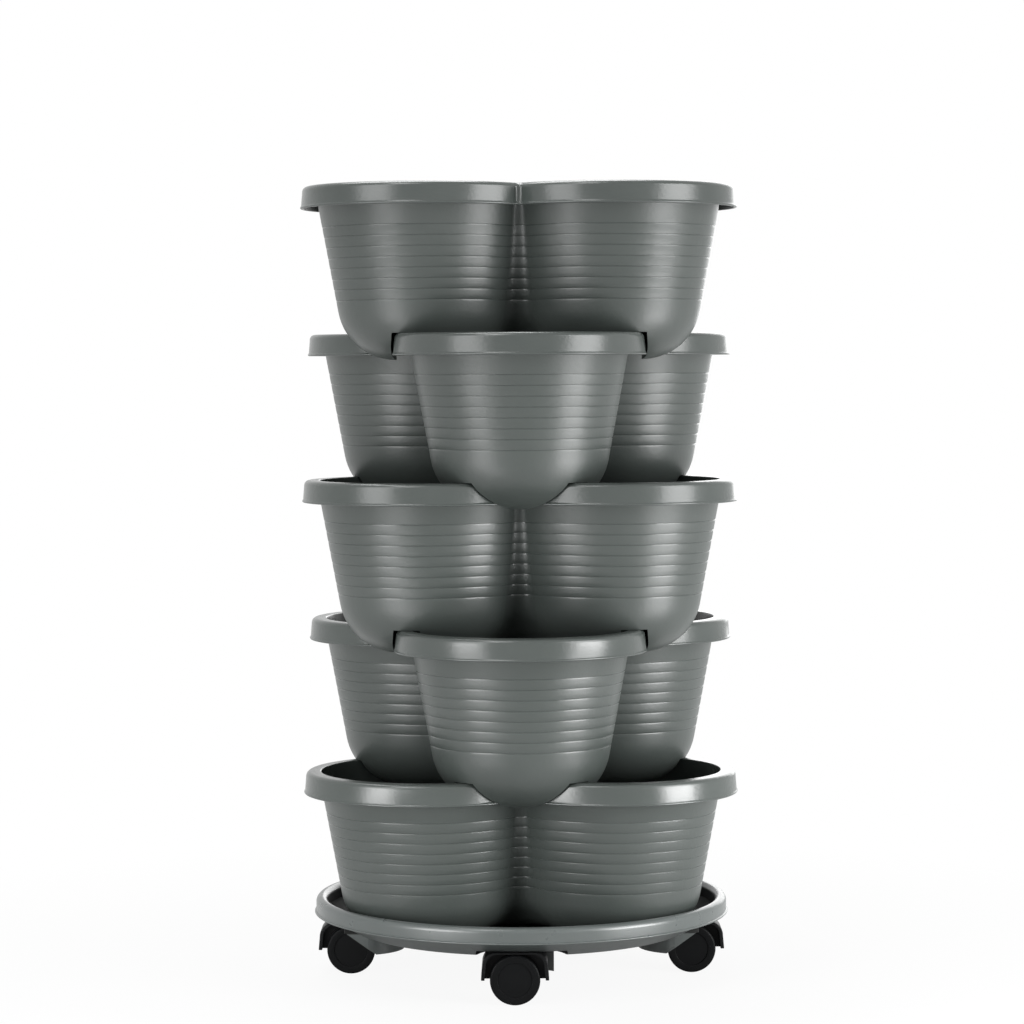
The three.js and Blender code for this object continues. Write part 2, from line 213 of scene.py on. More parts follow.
def material(name, colour, roughness):
    """A principled material and its nodes."""
    made = bpy.data.materials.new(name)
    made.use_nodes = True
    shader = made.node_tree.nodes["Principled BSDF"]
    shader.inputs["Base Color"].default_value = (*colour, 1)
    shader.inputs["Roughness"].default_value = roughness
    return made, made.node_tree.nodes, made.node_tree.links, shader


def noise(nodes, links, coordinates, scale, detail):
    """Noise from 0 to 1, its scale to the metre."""
    texture = nodes.new("ShaderNodeTexNoise")
    texture.inputs["Scale"].default_value = scale
    texture.inputs["Detail"].default_value = detail
    links.new(coordinates, texture.inputs["Vector"])
    return texture.outputs["Fac"]


def spread(nodes, links, value, low, high, out_low, out_high):
    """A value taken from one range to another and held inside it."""
    node = nodes.new("ShaderNodeMapRange")
    for socket, number in zip(("From Min", "From Max", "To Min", "To Max"), (low, high, out_low, out_high)):
        node.inputs[socket].default_value = number
    links.new(value, node.inputs["Value"])
    return node.outputs["Result"]


def together(nodes, links, operation, first, second):
    """Two values put together by a math operation."""
    node = nodes.new("ShaderNodeMath")
    node.operation = operation
    links.new(first, node.inputs[0])
    links.new(second, node.inputs[1])
    return node.outputs[0]


def bumped(nodes, links, height, distance, below=None):
    """A bump of a height in metres, on top of another one."""
    bump = nodes.new("ShaderNodeBump")
    bump.inputs["Distance"].default_value = distance
    links.new(height, bump.inputs["Height"])
    if below is not None:
        links.new(below, bump.inputs["Normal"])
    return bump.outputs["Normal"]


def moulded_plastic(name, dark, light, roughness, wall_roughness, specular, grain_depth,
                    scuff_colour, scuff_share):
    """Satin injection-moulded plastic: faint mottling, flow waves, a crinkled grain and rubbed edges.

    Walls that lean outwards as they rise come out of the mould duller than the rims.
    """
    made, nodes, links, shader = material(name, dark, roughness)
    shader.inputs["Specular IOR Level"].default_value = specular
    coordinates = nodes.new("ShaderNodeTexCoord").outputs["Object"]
    mottling = noise(nodes, links, coordinates, *MOTTLING)
    blend = nodes.new("ShaderNodeMix")
    blend.data_type = "RGBA"
    blend.inputs["A"].default_value = (*dark, 1)
    blend.inputs["B"].default_value = (*light, 1)
    links.new(spread(nodes, links, mottling, *NOISE_MIDDLE, 0, 1), blend.inputs["Factor"])
    shape = nodes.new("ShaderNodeNewGeometry").outputs
    scuffs = noise(nodes, links, coordinates, *SCUFFS)
    rubbed = together(nodes, links, "MULTIPLY",
                      spread(nodes, links, shape["Pointiness"], *RUBBED_EDGE, 0, 1),
                      spread(nodes, links, scuffs, *SCUFFED_FROM, 0, scuff_share))
    worn = nodes.new("ShaderNodeMix")
    worn.data_type = "RGBA"
    worn.inputs["B"].default_value = (*scuff_colour, 1)
    links.new(blend.outputs["Result"], worn.inputs["A"])
    links.new(rubbed, worn.inputs["Factor"])
    links.new(worn.outputs["Result"], shader.inputs["Base Color"])
    upright = nodes.new("ShaderNodeSeparateXYZ")
    links.new(shape["Normal"], upright.inputs["Vector"])
    patches = spread(nodes, links, noise(nodes, links, coordinates, *ROUGH_PATCHES),
                     *NOISE_MIDDLE, *PATCH_ROUGHNESS)
    lean = spread(nodes, links, upright.outputs["Z"], *WALL_LEAN, wall_roughness, roughness)
    links.new(together(nodes, links, "ADD", lean, patches), shader.inputs["Roughness"])
    waves = bumped(nodes, links, noise(nodes, links, coordinates, *FLOW_WAVES), FLOW_WAVE_HEIGHT)
    crinkle = bumped(nodes, links, noise(nodes, links, coordinates, *CRINKLE), grain_depth, waves)
    fine = bumped(nodes, links, noise(nodes, links, coordinates, *FINE_GRAIN),
                  grain_depth * FINE_GRAIN_SHARE, crinkle)
    links.new(fine, shader.inputs["Normal"])
    return made


def turned_steel(name):
    """Plain steel with fine lines from the lathe."""
    made, nodes, links, shader = material(name, STEEL_COLOUR, STEEL_ROUGHNESS)
    shader.inputs["Metallic"].default_value = 1
    coordinates = nodes.new("ShaderNodeTexCoord").outputs["Object"]
    lines = noise(nodes, links, coordinates, *TURNING_LINES)
    links.new(spread(nodes, links, lines, *NOISE_MIDDLE, *STEEL_ROUGHNESS_RANGE), shader.inputs["Roughness"])
    bump = nodes.new("ShaderNodeBump")
    bump.inputs["Strength"].default_value = TURNING_LINE_STRENGTH
    bump.inputs["Distance"].default_value = TURNING_LINE_DEPTH
    links.new(lines, bump.inputs["Height"])
    links.new(bump.outputs["Normal"], shader.inputs["Normal"])
    return made


POT_PLASTIC = moulded_plastic(
    "slate_pot_plastic", dark=(0.039, 0.0465, 0.043), light=(0.048, 0.0555, 0.052), roughness=0.25,
    wall_roughness=0.38, specular=0.55, grain_depth=0.12 * MM, scuff_colour=PALE_SCUFF, scuff_share=0.12)
TRAY_PLASTIC = moulded_plastic(
    "slate_tray_plastic", dark=(0.058, 0.067, 0.065), light=(0.068, 0.077, 0.075), roughness=0.28,
    wall_roughness=0.4, specular=0.55, grain_depth=0.05 * MM, scuff_colour=PALE_SCUFF, scuff_share=0.03)
CASTER_PLASTIC = moulded_plastic(
    "black_caster_plastic", dark=(0.003, 0.0032, 0.0034), light=(0.006, 0.0063, 0.0066), roughness=0.4,
    wall_roughness=0.4, specular=0.08, grain_depth=0.05 * MM, scuff_colour=DARK_SCUFF, scuff_share=0.4)
WHEEL_PLASTIC = moulded_plastic(
    "black_wheel_plastic", dark=(0.003, 0.0032, 0.0034), light=(0.005, 0.0053, 0.0056), roughness=0.45,
    wall_roughness=0.45, specular=0.06, grain_depth=0.05 * MM, scuff_colour=DARK_SCUFF, scuff_share=0.4)
STEEL = turned_steel("turned_steel")


def mesh_object(name, points, faces):
    """A new object in the scene with a mesh of its own."""
    mesh = bpy.data.meshes.new(name)
    mesh.from_pydata(points, [], faces)
    piece = bpy.data.objects.new(name, mesh)
    bpy.context.scene.collection.objects.link(piece)
    return piece


def finish_piece(piece, surface):
    """Smooth shading with sharp edges, and the piece's material."""
    mesh = piece.data
    mesh.polygons.foreach_set("use_smooth", [True] * len(mesh.polygons))
    mesh.set_sharp_from_angle(angle=SHARP_ANGLE)
    mesh.materials.clear()
    mesh.materials.append(surface)


def apply_modifiers(piece):
    """Gives a piece the mesh that its modifiers make."""
    result = bpy.data.meshes.new_from_object(piece.evaluated_get(bpy.context.evaluated_depsgraph_get()))
    piece.modifiers.clear()
    old = piece.data
    piece.data = result
    bpy.data.meshes.remove(old)


def soften(piece, width, angle):
    """Rounds the edges that are sharper than an angle."""
    modifier = piece.modifiers.new("soften", "BEVEL")
    modifier.width = width
    modifier.segments = BEVEL_STEPS
    modifier.limit_method = "ANGLE"
    modifier.angle_limit = angle
    apply_modifiers(piece)


def combine(piece, tool, operation):
    """Joins or cuts a closed piece with another one, which is used up."""
    modifier = piece.modifiers.new("combine", "BOOLEAN")
    modifier.object = tool
    modifier.operation = operation
    modifier.solver = "MANIFOLD"
    apply_modifiers(piece)
    bpy.data.objects.remove(tool)
    return piece


def place(piece, matrix):
    """Moves a piece's mesh; the piece itself stays at the origin."""
    piece.data.transform(matrix)
    return piece


def turned(name, profile, steps=TURN_STEPS):
    """A closed [radius, height] profile that starts and ends on the axis, turned about Z."""
    points, faces, rings = [], [], []
    for radius, height in profile:
        if radius == 0:
            rings.append([len(points)] * steps)
            points.append((0, 0, height))
        else:
            rings.append(list(range(len(points), len(points) + steps)))
            points += [(radius * math.cos(2 * math.pi * i / steps),
                        radius * math.sin(2 * math.pi * i / steps), height) for i in range(steps)]
    for lower, upper in zip(rings, rings[1:]):
        for i in range(steps):
            j = (i + 1) % steps
            corners = [lower[i], lower[j], upper[j], upper[i]]
            faces.append(list(dict.fromkeys(corners)))
    return mesh_object(name, points, faces)


def bar(name, radius, bottom, top, steps):
    """A closed upright cylinder on the axis."""
    return turned(name, [(0, bottom), (radius, bottom), (radius, top), (0, top)], steps)


def side_extrusion(name, outline, width):
    """A counter-clockwise side view of (x, height) points, made as wide as given across Y."""
    count = len(outline)
    points = [(x, side * width / 2, z) for side in (-1, 1) for x, z in outline]
    faces = [tuple(range(count)), tuple(reversed(range(count, 2 * count)))]
    for i in range(count):
        j = (i + 1) % count
        faces.append((i, count + i, count + j, j))
    return mesh_object(name, points, faces)


def arc(centre, radius, start, end, steps=ROUND_STEPS):
    """[x, z] points on an arc, angles in degrees."""
    return [(centre[0] + radius * math.cos(math.radians(start + (end - start) * i / steps)),
             centre[1] + radius * math.sin(math.radians(start + (end - start) * i / steps)))
            for i in range(steps + 1)]


def lobed_plan(offset):
    """Plan of a pot at a distance outside its wall line: round lobes joined by hollow creases."""
    lobe = LOBE_WALL_RADIUS + offset
    half_spacing = LOBE_CENTRE_RADIUS * math.sin(HALF_LOBE)
    midway = LOBE_CENTRE_RADIUS * math.cos(HALF_LOBE)
    crease_that_reaches = math.hypot(half_spacing, LEAST_CREASE_REACH - midway) - lobe
    opening = CREASE_RADIUS - offset * CREASE_OPENING_SHARE
    crease = max(opening, crease_that_reaches, TIGHTEST_CREASE)
    crease_centre = midway + math.sqrt((lobe + crease) ** 2 - half_spacing ** 2)
    crease_x, crease_y = crease_centre * math.cos(HALF_LOBE), crease_centre * math.sin(HALF_LOBE)
    tangent = math.atan2(crease_y, crease_x - LOBE_CENTRE_RADIUS)
    one_lobe = []
    for i in range(LOBE_STEPS + 1):
        angle = tangent * (2 * i / LOBE_STEPS - 1)
        one_lobe.append((LOBE_CENTRE_RADIUS + lobe * math.cos(angle), lobe * math.sin(angle)))
    for i in range(1, CREASE_STEPS):
        angle = math.pi + HALF_LOBE + (tangent - HALF_LOBE) * (1 - 2 * i / CREASE_STEPS)
        one_lobe.append((crease_x + crease * math.cos(angle), crease_y + crease * math.sin(angle)))
    plan = []
    for lobe_index in range(LOBES):
        turn = Matrix.Rotation(2 * HALF_LOBE * lobe_index, 2)
        plan += [tuple(turn @ Vector(point)) for point in one_lobe]
    return plan


def lobed_loft(name, rings, closes_on_itself=False):
    """Skin through lobed plans of (offset, height) rings, capped at both ends or closed on itself."""
    points, faces = [], []
    for offset, height in rings:
        points += [(x, y, height) for x, y in lobed_plan(offset)]
    count = len(points) // len(rings)
    for ring in range(len(rings) if closes_on_itself else len(rings) - 1):
        lower, upper = ring * count, (ring + 1) % len(rings) * count
        for i in range(count):
            j = (i + 1) % count
            faces.append((lower + i, lower + j, upper + j, upper + i))
    if not closes_on_itself:
        last = (len(rings) - 1) * count
        faces += [tuple(reversed(range(count))), tuple(range(last, last + count))]
    return mesh_object(name, points, faces)


def node_height(node):
    low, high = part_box(node)
    return high.z - low.z


# The lowest pot is shallower, so its floor lies higher below the same rim
POT_HEIGHT = node_height("pot_tier_2")
LOWEST_RISE = POT_HEIGHT - node_height("pot_tier_1")


def wall_line(height):
    """Offset of the drafted wall's outside, which is zero at the top of the rim."""
    return -(POT_HEIGHT - height) * math.tan(WALL_DRAFT)


def bottom_turn(floor, rounding, inset):
    """Round turn from the flat floor into the drafted wall."""
    height = floor + rounding
    centre = wall_line(height) - rounding / math.cos(WALL_DRAFT)
    return arc((centre, height), rounding - inset, -90, -math.degrees(WALL_DRAFT))


def groove_rings():
    """The moulded steps up the wall, lowest first."""
    rings = []
    for i in reversed(range(GROOVES)):
        height = POT_HEIGHT - FIRST_GROOVE_BELOW_RIM - GROOVE_PITCH * i
        for above, depth_share in GROOVE_SHAPE:
            z = height + above * MM
            rings.append((wall_line(z) - depth_share * GROOVE_DEPTH, z))
    return rings


def rim_rings():
    """Turned-over rim from the wall outwards: fold, flared band with a lip at its foot, round edge."""
    underside = POT_HEIGHT - RIM_WALL
    bottom = POT_HEIGHT - RIM_HEIGHT
    foot = RIM_OVERHANG + RIM_FLARE
    lip = RIM_LIP
    band_foot = foot - LIP_STANDS_OUT * lip
    return [
        (wall_line(underside - RIM_FOLD), underside - RIM_FOLD),
        *[(wall_line(underside) + RIM_FOLD * (1 - math.cos(t)), underside - RIM_FOLD * (1 - math.sin(t)))
          for t in (math.pi / 6, math.pi / 3, math.pi / 2)],
        (RIM_OVERHANG - RIM_WALL - RIM_FOLD, underside),
        (RIM_OVERHANG - RIM_WALL - RIM_FOLD / 4, underside - RIM_FOLD / 4),
        (RIM_OVERHANG - RIM_WALL, underside - RIM_FOLD),
        (foot - RIM_WALL, bottom + lip / 2),
        (foot - RIM_WALL + lip / 2, bottom),
        *arc((foot - lip, bottom + lip), lip, *LIP_TURN, EDGE_STEPS),
        *[(band_foot + out * lip, bottom + up * lip) for out, up in LIP_EASE],
        *arc((RIM_OVERHANG - RIM_EDGE, POT_HEIGHT - RIM_EDGE), RIM_EDGE, 0, 90, RIM_EDGE_STEPS),
        *arc((RIM_INNER_EDGE - POT_WALL, POT_HEIGHT - RIM_INNER_EDGE), RIM_INNER_EDGE, 90, 180,
             SMALL_EDGE_STEPS),
    ]


def notch_band(name, inner, outer, bottom, top):
    """A closed band along the rim of the pot below, which is turned by half a lobe."""
    band = lobed_loft(name, [(inner, bottom), (outer, bottom), (outer, top), (inner, top)], True)
    return place(band, Matrix.Rotation(HALF_LOBE, 4, "Z"))


def drain_hole(floor, lobe_index):
    """A hole in the floor; index None is the one on the axis."""
    hole = bar("hole", DRAIN_HOLE_RADIUS, floor - OVERRUN, floor + POT_WALL + OVERRUN, PIN_STEPS)
    if lobe_index is not None:
        place(hole, Matrix.Rotation(2 * HALF_LOBE * lobe_index, 4, "Z")
              @ Matrix.Translation((DRAIN_HOLE_FROM_AXIS, 0, 0)))
    return hole


def make_pot(floor, rounding, stands_on_rim):
    """One pot with its first lobe towards +X; only one that stands on another pot has notches."""
    foot, inner_foot = bottom_turn(floor, rounding, 0), bottom_turn(floor, rounding, POT_WALL)
    pot = lobed_loft("pot", [*foot, *groove_rings(), *rim_rings(), *reversed(inner_foot)])
    for index in (None, *range(LOBES)):
        combine(pot, drain_hole(floor, index), "DIFFERENCE")
    if not stands_on_rim:
        return pot
    inner = -POT_WALL - NEST_DEPTH * math.tan(WALL_DRAFT) - NOTCH_CLEARANCE
    outer = RIM_OVERHANG + RIM_FLARE + NOTCH_CLEARANCE
    top = NEST_DEPTH + SEAT_GAP
    ridge = notch_band("ridge", inner - NOTCH_WALL, outer + NOTCH_WALL, floor, top + NOTCH_WALL)
    height = floor + rounding
    mid_wall = lobed_loft("mid_wall", [*bottom_turn(floor, rounding, POT_WALL / 2),
                                       (wall_line(height) - POT_WALL / 2, height)])
    combine(ridge, mid_wall, "INTERSECT")
    combine(pot, ridge, "UNION")
    return combine(pot, notch_band("notch", inner, outer, floor - OVERRUN, top), "DIFFERENCE")


def stand_in(piece, node, body, surface):
    """A finished piece rides on a body and takes the place of a CAD node."""
    finish_piece(piece, surface)
    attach(piece, body)
    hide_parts(node)


def copy_of(piece, name):
    """A copy with a mesh of its own."""
    made = bpy.data.objects.new(name, piece.data.copy())
    bpy.context.scene.collection.objects.link(made)
    return made


def add_pots():
    lowest = make_pot(LOWEST_RISE, LOWEST_BOTTOM_ROUNDING, False)
    stacked = make_pot(0, BOTTOM_ROUNDING, True)
    for tier in range(TIERS):
        node = f"pot_tier_{tier + 1}"
        piece = copy_of(stacked if tier else lowest, f"{node}_shell")
        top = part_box(node)[1].z
        turn = math.pi / 2 + HALF_LOBE * tier
        place(piece, Matrix.Translation((0, 0, top - POT_HEIGHT)) @ Matrix.Rotation(turn, 4, "Z"))
        stand_in(piece, node, node, POT_PLASTIC)
    bpy.data.objects.remove(lowest)
    bpy.data.objects.remove(stacked)


# The tray's and casters' places, as the solids have them
TRAY_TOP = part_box("tray")[1].z
TRAY_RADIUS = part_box("tray")[1].x
TRAY_CONE = TRAY_RADIUS - TRAY_RIM_WIDTH
TRAY_MOUTH = TRAY_CONE - TRAY_WALL
TRAY_BASE = TRAY_RADIUS - TRAY_CONE_REACH
STEM_LOW, STEM_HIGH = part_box("caster_right_stem")
CASTER_CIRCLE = (STEM_LOW.x + STEM_HIGH.x) / 2
AXLE_HEIGHT = WHEEL_RADIUS


def tray_profile():
    """Dished saucer with a rolled rim: base, cone, hollow roll with a bead at its foot, and back inside."""
    band = TRAY_RADIUS - TRAY_BEAD
    roll = (band - TRAY_MOUTH) / 2
    centre = (band - roll, TRAY_TOP - roll)
    foot = TRAY_TOP - TRAY_RIM_HEIGHT
    bead = TRAY_BEAD / 2
    base_turn = TRAY_BASE_ROUNDING
    slope = (TRAY_CONE_TOP - TRAY_UNDERSIDE) / (TRAY_CONE - TRAY_BASE)
    return [
        (0, TRAY_UNDERSIDE),
        (TRAY_BASE - base_turn, TRAY_UNDERSIDE),
        (TRAY_BASE, TRAY_UNDERSIDE + slope * base_turn / 4),
        (TRAY_BASE + base_turn, TRAY_UNDERSIDE + slope * base_turn),
        (TRAY_CONE, TRAY_CONE_TOP),
        *arc(centre, roll - TRAY_WALL, 180, 0),
        (band - TRAY_WALL, foot + bead / 2),
        (band - TRAY_WALL + bead / 2, foot),
        *arc((TRAY_RADIUS - bead, foot + bead), bead, *BEAD_TURN, EDGE_STEPS),
        (band, foot + BEAD_EASE * bead),
        *arc(centre, roll, 0, 180, ROLL_STEPS),
        (TRAY_MOUTH, TRAY_CONE_TOP + TRAY_WALL),
        (TRAY_BASE - TRAY_WALL, TRAY_UNDERSIDE + TRAY_WALL),
        (0, TRAY_UNDERSIDE + TRAY_WALL),
    ]


def pocket_space(hugs_cone):
    """Space under the tray's wall that a caster pocket may fill, up to the middle of that wall.

    Nothing of a pocket that hugs the cone shows below it.
    """
    slope = (TRAY_CONE_TOP - TRAY_UNDERSIDE) / (TRAY_CONE - TRAY_BASE)
    middle = TRAY_UNDERSIDE + TRAY_WALL / 2
    roof = POCKET_CEILING + POCKET_ROOF
    outer = TRAY_RADIUS - POCKET_REACH_INSIDE_TRAY
    outside = [(TRAY_BASE, 0), (TRAY_BASE, middle)] if hugs_cone else [
        (outer, 0), (outer, middle + (outer - TRAY_BASE) * slope)]
    return turned("space", [(0, 0), *outside, (TRAY_BASE + (roof - middle) / slope, roof), (0, roof)])


def paint_shade_in_tray():
    """Painted shade inside the tray, below its rolled rim, made fully rough so that it mirrors nothing
    either.
    """
    tree = TRAY_PLASTIC.node_tree
    nodes, links = tree.nodes, tree.links
    coordinates = nodes.new("ShaderNodeTexCoord").outputs["Object"]
    from_axis = nodes.new("ShaderNodeVectorMath")
    from_axis.operation = "MULTIPLY"
    from_axis.inputs[1].default_value = (1, 1, 0)
    links.new(coordinates, from_axis.inputs[0])
    radius = nodes.new("ShaderNodeVectorMath")
    radius.operation = "LENGTH"
    links.new(from_axis.outputs["Vector"], radius.inputs[0])
    spot, facing = nodes.new("ShaderNodeSeparateXYZ"), nodes.new("ShaderNodeSeparateXYZ")
    links.new(coordinates, spot.inputs["Vector"])
    links.new(nodes.new("ShaderNodeNewGeometry").outputs["Normal"], facing.inputs["Vector"])
    edge = TRAY_TOP - TRAY_WALL
    share = spread(nodes, links, radius.outputs["Value"], *[TRAY_MOUTH + past for past in PAINTED_SHADE_END], 1, 0)
    for value, low, high, out_low, out_high in (
            (spot.outputs["Z"], TRAY_UNDERSIDE, TRAY_UNDERSIDE + TRAY_WALL / 2, 0, 1),
            (spot.outputs["Z"], edge - TRAY_WALL, edge, 1, 0),
            (facing.outputs["Z"], *PAINTED_SHADE_LEAN, 0, 1)):
        shade_part = spread(nodes, links, value, low, high, out_low, out_high)
        share = together(nodes, links, "MULTIPLY", share, shade_part)
    # painted shade: the tray's inside turned near black in place of the shadow that fills it
    painted_shade = nodes.new("ShaderNodeMix")
    painted_shade.data_type = "RGBA"
    painted_shade.inputs["B"].default_value = (*TRAY_PAINTED_SHADE, 1)
    shader = nodes["Principled BSDF"]
    colour, roughness = shader.inputs["Base Color"], shader.inputs["Roughness"]
    links.new(colour.links[0].from_socket, painted_shade.inputs["A"])
    links.new(share, painted_shade.inputs["Factor"])
    links.new(painted_shade.outputs["Result"], colour)
    links.new(together(nodes, links, "MAXIMUM", roughness.links[0].from_socket, share), roughness)


def at_caster(piece, around):
    """Moves a piece from the axis to a caster's stem."""
    return place(piece, Matrix.Rotation(around, 4, "Z") @ Matrix.Translation((CASTER_CIRCLE, 0, 0)))


def pocket_shell(skirt_half_width):
    """Pocket over a caster with a skirt on its inner side, the skirt's lower edge rising outwards."""
    reach = POCKET_RADIUS + POCKET_WALL
    slope_top = SKIRT_BOTTOM + (reach - SKIRT_SLOPE_START) * SKIRT_SLOPE
    outline = [(-reach - OVERRUN, SKIRT_BOTTOM), (SKIRT_SLOPE_START, SKIRT_BOTTOM), (reach, slope_top),
               (reach, TRAY_TOP), (-reach - OVERRUN, TRAY_TOP)]
    skirt = side_extrusion("skirt", outline, 2 * skirt_half_width)
    above = bar("above", reach + OVERRUN, TRAY_UNDERSIDE + TRAY_WALL / 2, TRAY_TOP - OVERRUN, POCKET_STEPS)
    combine(skirt, above, "UNION")
    return combine(bar("shell", reach, 0, TRAY_TOP - OVERRUN, POCKET_STEPS), skirt, "INTERSECT")


def add_tray():
    tray = turned("tray_saucer", tray_profile())
    for around, _, skirt_half_width, hugs_cone in CASTERS.values():
        pocket = at_caster(pocket_shell(skirt_half_width), around)
        combine(tray, combine(pocket, pocket_space(hugs_cone), "INTERSECT"), "UNION")
    rib_foot, rib_top = TRAY_UNDERSIDE + TRAY_WALL / 2, POCKET_CEILING + POCKET_ROOF
    outline = [(TRAY_RIB_INNER, rib_foot), (TRAY_RIB_OUTER, rib_foot),
               (TRAY_RIB_OUTER, rib_top), (TRAY_RIB_INNER, rib_top)]
    for i in range(TRAY_RIBS):
        rib = side_extrusion("rib", outline, TRAY_RIB_WIDTH)
        combine(tray, place(rib, Matrix.Rotation(2 * math.pi * (i + 0.5) / TRAY_RIBS, 4, "Z")), "UNION")
    socket_top = POCKET_CEILING + POCKET_ROOF / 2
    for around, *_ in CASTERS.values():
        pocket = bar("pocket", POCKET_RADIUS, -OVERRUN, POCKET_CEILING, POCKET_STEPS)
        combine(tray, at_caster(pocket, around), "DIFFERENCE")
        socket = bar("socket", SOCKET_RADIUS, SOCKET_BOTTOM, socket_top, PIN_STEPS)
        combine(tray, at_caster(socket, around), "UNION")
        stem_hole = bar("stem_hole", STEM_RADIUS + SEAT_GAP, SOCKET_BOTTOM - OVERRUN, STEM_TOP + SEAT_GAP,
                        PIN_STEPS)
        combine(tray, at_caster(stem_hole, around), "DIFFERENCE")
    # darkens the tray's inside with painted shade
    paint_shade_in_tray()
    stand_in(tray, "tray", "tray", TRAY_PLASTIC)


def hood_outline(half_length, height, corner):
    """Side view of the hood down to the axle: ends that lean in a little, and round top corners."""
    shoulder = AXLE_HEIGHT + height - corner
    top_half = half_length - HOOD_LEAN
    return [
        (CASTER_TRAIL + half_length, AXLE_HEIGHT),
        *arc((CASTER_TRAIL + top_half - corner, shoulder), corner, 0, 90),
        *arc((CASTER_TRAIL - top_half + corner, shoulder), corner, 90, 180),
        (CASTER_TRAIL - half_length, AXLE_HEIGHT),
    ]


def make_caster_body():
    """Hood over both wheels with the web between them; the stem is at the origin, the axle a trail away."""
    half_width = WEB_WIDTH / 2 + WHEEL_SIDE_GAP + WHEEL_WIDTH + HOOD_SIDE_COVER
    boss = arc((CASTER_TRAIL, AXLE_HEIGHT), WEB_BOSS_RADIUS, 180, 360, BOSS_STEPS)
    hood = hood_outline(HOOD_HALF_LENGTH, HOOD_HEIGHT, HOOD_CORNER)
    body = side_extrusion("caster_body", [*hood, *boss], 2 * half_width)
    soften(body, HOOD_SOFT_EDGE, HOOD_SHARP_ANGLE)
    inner_half = HOOD_HALF_LENGTH - HOOD_END_WALL
    below = AXLE_HEIGHT - WEB_BOSS_RADIUS - OVERRUN
    outline = [*hood_outline(inner_half, HOOD_HEIGHT - HOOD_ROOF, HOOD_CORNER - HOOD_ROOF),
               (CASTER_TRAIL - inner_half, below), (CASTER_TRAIL + inner_half, below)]
    space_width = half_width - WEB_WIDTH / 2 + OVERRUN
    for side in (1, -1):
        space = side_extrusion("space", outline, space_width)
        place(space, Matrix.Translation((0, side * (WEB_WIDTH + space_width) / 2, 0)))
        combine(body, space, "DIFFERENCE")
    collar_bottom = SOCKET_BOTTOM - STEM_COLLAR_HEIGHT - 2 * SEAT_GAP
    collar_top = AXLE_HEIGHT + HOOD_HEIGHT + OVERRUN
    collar_space = bar("collar_space", SOCKET_RADIUS + SEAT_GAP, collar_bottom, collar_top, PIN_STEPS)
    combine(body, collar_space, "DIFFERENCE")
    stem_bore = bar("stem_bore", STEM_RADIUS + SEAT_GAP, STEM_FOOT - SEAT_GAP, SOCKET_BOTTOM, PIN_STEPS)
    combine(body, stem_bore, "DIFFERENCE")
    axle_bore = bar("axle_bore", AXLE_RADIUS + SEAT_GAP, -WEB_WIDTH, WEB_WIDTH, PIN_STEPS)
    axle_place = Matrix.Translation((CASTER_TRAIL, 0, AXLE_HEIGHT))
    place(axle_bore, axle_place @ Matrix.Rotation(math.pi / 2, 4, "X"))
    return combine(body, axle_bore, "DIFFERENCE")


def make_wheel():
    """Wheel about Z with its inner face at zero: round tread edges and a ring round a sunk face."""
    ring_inner = WHEEL_RADIUS - WHEEL_EDGE - WHEEL_FACE_RING
    hole = AXLE_RADIUS + SEAT_GAP
    hole_end = WHEEL_WIDTH - AXLE_END_COVER + SEAT_GAP
    sunk = WHEEL_WIDTH - WHEEL_FACE_RECESS
    soft = WHEEL_SOFT_EDGE
    back_edge = WHEEL_EDGE / 2
    return turned("wheel", [
        (0, hole_end),
        (hole, hole_end),
        (hole, 0),
        *arc((WHEEL_RADIUS - back_edge, back_edge), back_edge, -90, 0, WHEEL_BACK_STEPS),
        *arc((WHEEL_RADIUS - WHEEL_EDGE, WHEEL_WIDTH - WHEEL_EDGE), WHEEL_EDGE, 0, 90, EDGE_STEPS),
        *arc((ring_inner + soft, WHEEL_WIDTH - soft), soft, 90, 180, SMALL_EDGE_STEPS),
        (ring_inner, sunk),
        (0, sunk),
    ], WHEEL_STEPS)


def add_casters():
    body, wheel = make_caster_body(), make_wheel()
    wheel_inner_face = WEB_WIDTH / 2 + WHEEL_SIDE_GAP
    for name, (around, heading, *_) in CASTERS.items():
        at = Matrix.Translation((CASTER_CIRCLE * math.cos(around), CASTER_CIRCLE * math.sin(around), 0))
        at = at @ Matrix.Rotation(heading, 4, "Z")
        node = f"caster_{name}_body"
        hood = place(copy_of(body, f"caster_{name}_hood"), at)
        stand_in(hood, node, node, CASTER_PLASTIC)
        for side in (1, -1):
            which = "rear_wheel" if side * math.cos(heading) > 0 else "fore_wheel"
            spot = Matrix.Translation((CASTER_TRAIL, side * wheel_inner_face, AXLE_HEIGHT))
            turn = Matrix.Rotation(-side * math.pi / 2, 4, "X")
            piece = place(copy_of(wheel, f"caster_{name}_{which}_disc"), at @ spot @ turn)
            stand_in(piece, f"caster_{name}_{which}", f"caster_{name}_wheels", WHEEL_PLASTIC)
    bpy.data.objects.remove(body)
    bpy.data.objects.remove(wheel)


def dress_cad_nodes():
    """The steel pins stay as they are and get their finish in place."""
    for name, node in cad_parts.items():
        if name.endswith("stem") or name.endswith("axle"):
            node.data.materials.clear()
            node.data.materials.append(STEEL)


# Camera: 3.2 m away at 0.61 m above the floor, looking down 2.7 degrees, and held a hair off level
CAMERA_DISTANCE = 3.216
CAMERA_HEIGHT = 0.6102
CAMERA_TILT = math.radians(2.656)
CAMERA_ROLL = math.radians(-0.231)
CAMERA_LENS = 113.35
CAMERA_ACROSS = -7.66 * MM

# Light on the object from all round, and the floor's share of plain white near the tower
AMBIENT = 0.25
FLOOR_WHITE = 0.92
FLOOR_FADE = (0.3, 0.9)

# What the underside of the tray mirrors of the floor right below it
FLOOR_IN_SHADE = 0.15
SHADE_FADE = (0.22, 0.4)

# Floor, in metres, as it is lit by all but the rays that see it white
FLOOR_HALF_WIDTH = 40
FLOOR_COLOUR = (0.45, 0.45, 0.45)
FLOOR_ROUGHNESS = 0.9

